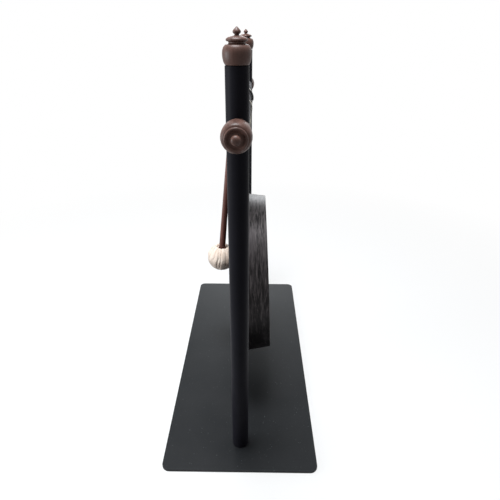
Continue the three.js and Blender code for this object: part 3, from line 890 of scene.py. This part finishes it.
def arc(middle, radius, start, end, steps):
    return [
        (
            middle[0] + radius * math.cos(start + (end - start) * step / steps),
            middle[1] + radius * math.sin(start + (end - start) * step / steps),
        )
        for step in range(steps + 1)
    ]


def wire(name, points, radius):
    """A round wire with softened ends along points given in millimetres."""
    data = bpy.data.curves.new(name, "CURVE")
    data.dimensions = "3D"
    data.bevel_depth = radius * mm
    data.bevel_resolution = 5
    data.use_fill_caps = True
    spline = data.splines.new("POLY")
    spline.points.add(len(points) - 1)
    for place, point in zip(spline.points, points):
        place.co = (*(point * mm), 1)
    made = bpy.data.objects.new(name, data)
    bpy.context.scene.collection.objects.link(made)
    choose(made)
    bpy.ops.object.convert(target="MESH")
    smooth(made, 50)
    return made


hook_grip = tube_radius + gap + hook_wire_radius
hook_line = arc((0, bar_height), hook_grip, hook_back_angle, 0, 60)
bend_middle = (hook_grip + hook_bend_radius, bar_height - hook_shank)
hook_line += arc(bend_middle, hook_bend_radius, math.pi, 1.5 * math.pi + hook_tip_angle, 30)
tip_forward, tip_height = hook_line[-1]
hook_line.append(
    (tip_forward + hook_tip * math.cos(hook_tip_angle), tip_height + hook_tip * math.sin(hook_tip_angle))
)
hook = wire("hook_wire", [Vector((hook_x, -y, z)) for y, z in hook_line], hook_wire_radius)
stand_for(hook, "hook", "black_wire", "mallet_hook")
black_wire = Finish("black enamelled wire", Metallic=0.0, Specular_IOR_Level=0.5)
wire_cloud = black_wire.noise(black_wire.place, 400.0, 3.0)
black_wire.give(
    hook,
    colour=black_wire.ramp(wire_cloud, (0.3, (0.008, 0.008, 0.008)), (0.7, (0.016, 0.015, 0.015))),
    roughness=wire_cloud * 0.15 + 0.22,
    normal=black_wire.bump(wire_cloud, 0.1, 0.0002),
)


# Mallet handle
# Turned hardwood rod, stained red-brown and oiled, tapering up to a round top with a cross
# hole for the loop.
handle_foot_radius = 4.7
handle_engagement = 10
handle_chamfer = 0.4
handle_foot = -mallet_length - handle_engagement
loop_hole_radius = 1.4 * mm
loop_drill_reach = 6 * mm
loop_hole_place = (0, 0, (handle_top - loop_hole_inset) * mm)

round_top = arc((0, handle_top - handle_top_radius), handle_top_radius, 0, math.pi / 2, 10)
handle_line = [
    (0, handle_foot),
    (handle_foot_radius - handle_chamfer, handle_foot),
    (handle_foot_radius, handle_foot + handle_chamfer),
    *round_top[:-1],
    (0, handle_top),
]
handle_line = [(radius * mm, height * mm) for radius, height in handle_line]
handle = turned("handle_turned", handle_line, steps=40)
drill = rod(loop_hole_radius, -loop_drill_reach, loop_drill_reach)
carve(handle, turned("hole", drill, loop_hole_place, (1, 0, 0), steps=32))
put(handle, mallet_place)
smooth(handle, 35)
stand_for(handle, "mallet", "handle_wood", "mallet_handle")
red_brown_tones = ((0.060, 0.020, 0.014), (0.105, 0.035, 0.026), (0.16, 0.062, 0.046))
varnish("oiled red-brown wood", [handle], 2, red_brown_tones, 0.38)


# Mallet core
# Plain beech ball, dimpled round the handle and glued to it. It is out of sight inside the
# cloth.
beech_tones = ((0.30, 0.17, 0.08), (0.42, 0.26, 0.13), (0.52, 0.34, 0.19))
varnish("beech", [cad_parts["mallet_core"]], 2, beech_tones, 0.55)


# Mallet cover
# A round of cream cotton cloth drawn up over the ball and gathered at the neck, where its
# pleats are tucked and glued into the dimple round the handle.
cloth_room = 1.5
core_radius = head_radius - cloth_room - gap
dimple_depth = 5
dimple_lip = math.radians(55)
handle_at_head = handle_foot_radius + gap
cloth_thickness = 0.5 * mm
cloth_off_ball = gap + 0.05
fold_height = 1.9 * mm
broad_folds = 2.7
narrow_folds = 4.5
fold_sway = 0.25
head_middle = Vector((0, 0, -mallet_length)) * mm


def ball_outline(offset, steps=72):
    """The ball's profile at a distance outside the core, from its underside to the dimple."""
    radius = core_radius + offset
    line = arc((0, 0), radius, -math.pi / 2, dimple_lip, steps)
    side, top = line[-1]
    roll = 0.3 * radius
    first = (side - roll * math.sin(dimple_lip), top + roll * math.cos(dimple_lip))
    end = (handle_at_head, core_radius - dimple_depth + offset)
    second = (end[0] + 0.6 * dimple_depth, end[1])
    return line + curve(line[-1], first, second, end, steps // 2)


def pleats(around, height):
    """How far the cloth stands out, from 0 in a crease to 1 between creases. Broad and narrow
    creases sway as they run up, and all die out near the underside."""
    sway = noise.noise(Vector((0, 0, height * 1.6)) + around * 1.3) * fold_sway
    broad = abs(noise.noise(around * broad_folds + Vector((sway + 3, sway, height * 0.3))))
    narrow = abs(noise.noise(around * narrow_folds + Vector((sway - 5, sway, height * 0.6))))
    swell = min(broad * 2.6, 1) ** 0.5 * 0.85 + min(narrow * 2.4, 1) ** 0.7 * 0.15
    return swell * min(max((height + 0.95) / 0.9, 0), 1) ** 1.2


cloth_line = ball_outline(cloth_off_ball)
cloth_line = [(radius * mm, (height - mallet_length) * mm) for radius, height in cloth_line]
cloth_line[0] = (0, cloth_line[0][1])
cover = turned("cover_gathered", cloth_line, steps=400)
for vertex in cover.data.vertices:
    place = vertex.co - head_middle
    turn = math.atan2(place.y, place.x)
    around = Vector((math.cos(turn), math.sin(turn), 0))
    swell = pleats(around, place.z / (head_radius * mm))
    vertex.co = place * (1 + swell * fold_height / place.length) + head_middle
put(cover, mallet_place)
thickness = cover.modifiers.new("cloth", "SOLIDIFY")
thickness.thickness = cloth_thickness
thickness.offset = 1
bpy.ops.object.modifier_apply(modifier=thickness.name)
smooth(cover, 70)
stand_for(cover, "mallet", "cream_cloth", "mallet_cover")

cotton = Finish("cream cotton", Roughness=0.9, Sheen_Weight=0.25)
cotton_weave = cotton.noise(cotton.place, 2600.0, 2.0)
cotton_cloud = cotton.noise(cotton.place, 90.0, 3.0)
cotton.give(
    cover,
    colour=cotton.ramp(
        cotton_cloud * 0.7 + cotton_weave * 0.3,
        (0.32, (0.63, 0.49, 0.39)),
        (0.50, (0.77, 0.63, 0.53)),
        (0.68, (0.84, 0.73, 0.63)),
    ),
    normal=cotton.bump(cotton_weave + cotton_cloud * 0.6, 0.5, 0.0003),
)


# Floor
# A plain white sheet under and behind the stand. Away from the stand it fades into the
# white of the surroundings. It throws little light back up, so dark pieces stay dark.
bpy.ops.mesh.primitive_plane_add(size=40, location=(0, 0, 0))
floor = bpy.context.object
floor.name = "floor"
paper = Finish("white paper", Roughness=1.0, Specular_IOR_Level=0.0)
distance = paper.node(
    "ShaderNodeVectorMath", {"operation": "LENGTH"}, {"Vector": paper.place}, "Value"
)
camera_ray, glossy_ray, through_ray = (
    paper.node("ShaderNodeLightPath", output=kind)
    for kind in ("Is Camera Ray", "Is Glossy Ray", "Is Transmission Ray")
)
seen = (camera_ray + glossy_ray + through_ray).clamped()
glow_near = 0.65
fade_start = 0.25
fade_rate = 1.6
fade = ((distance - fade_start) * fade_rate).clamped()
glow_share = fade * (1 - glow_near) + glow_near
paper_shader = Wire(paper, paper.shader.outputs[0])
glow = paper.node("ShaderNodeEmission")
blend = paper.node("ShaderNodeMixShader", {}, {0: glow_share * seen, 1: paper_shader, 2: glow})
paper.feed(paper.tree.nodes["Material Output"].inputs["Surface"], blend)
paper.give(floor, colour=paper.mix(seen, (0.24, 0.24, 0.25), (0.94, 0.94, 0.94)))


# Light
# Three soft lamps, slightly cool: one overhead, a low one from the mallet's side and a broad
# one far behind. The surroundings are white where seen or mirrored, and give only dim light.
def lamp(name, place, aim, size, power):
    bpy.ops.object.light_add(type="AREA", location=place)
    made = bpy.context.object
    made.name = name
    made.data.shape = "SQUARE"
    made.data.size = size
    made.data.energy = power
    made.data.color = (0.93, 0.97, 1.0)
    made.rotation_euler = (Vector(aim) - Vector(place)).to_track_quat("-Z", "Y").to_euler()


lamp("lamp_overhead", (0.1, -0.1, 1.3), (0, 0, 0.2), 0.34, 18)
lamp("lamp_side", (0.3, -1.35, 0.34), (0, 0, 0.24), 0.6, 13.5)
lamp("lamp_behind", (-2.4, 0.0, 0.95), (0, 0, 0), 1.0, 17)

world = bpy.data.worlds.new("studio")
bpy.context.scene.world = world
world.use_nodes = True
tree = world.node_tree
dim = tree.nodes["Background"]
dim.inputs["Color"].default_value = (0.95, 0.98, 1, 1)
dim.inputs["Strength"].default_value = 0.09
white = tree.nodes.new("ShaderNodeBackground")
white.inputs["Color"].default_value = (1, 1, 1, 1)
white.inputs["Strength"].default_value = 1
ray = tree.nodes.new("ShaderNodeLightPath").outputs


def larger_of(first, second):
    larger = tree.nodes.new("ShaderNodeMath")
    larger.operation = "MAXIMUM"
    tree.links.new(first, larger.inputs[0])
    tree.links.new(second, larger.inputs[1])
    return larger.outputs[0]


seen = larger_of(ray["Is Camera Ray"], ray["Is Glossy Ray"])
seen = larger_of(seen, ray["Is Transmission Ray"])
chooser = tree.nodes.new("ShaderNodeMixShader")
tree.links.new(seen, chooser.inputs[0])
tree.links.new(dim.outputs[0], chooser.inputs[1])
tree.links.new(white.outputs[0], chooser.inputs[2])
tree.links.new(chooser.outputs[0], tree.nodes["World Output"].inputs["Surface"])

bpy.context.scene.view_settings.view_transform = "Standard"
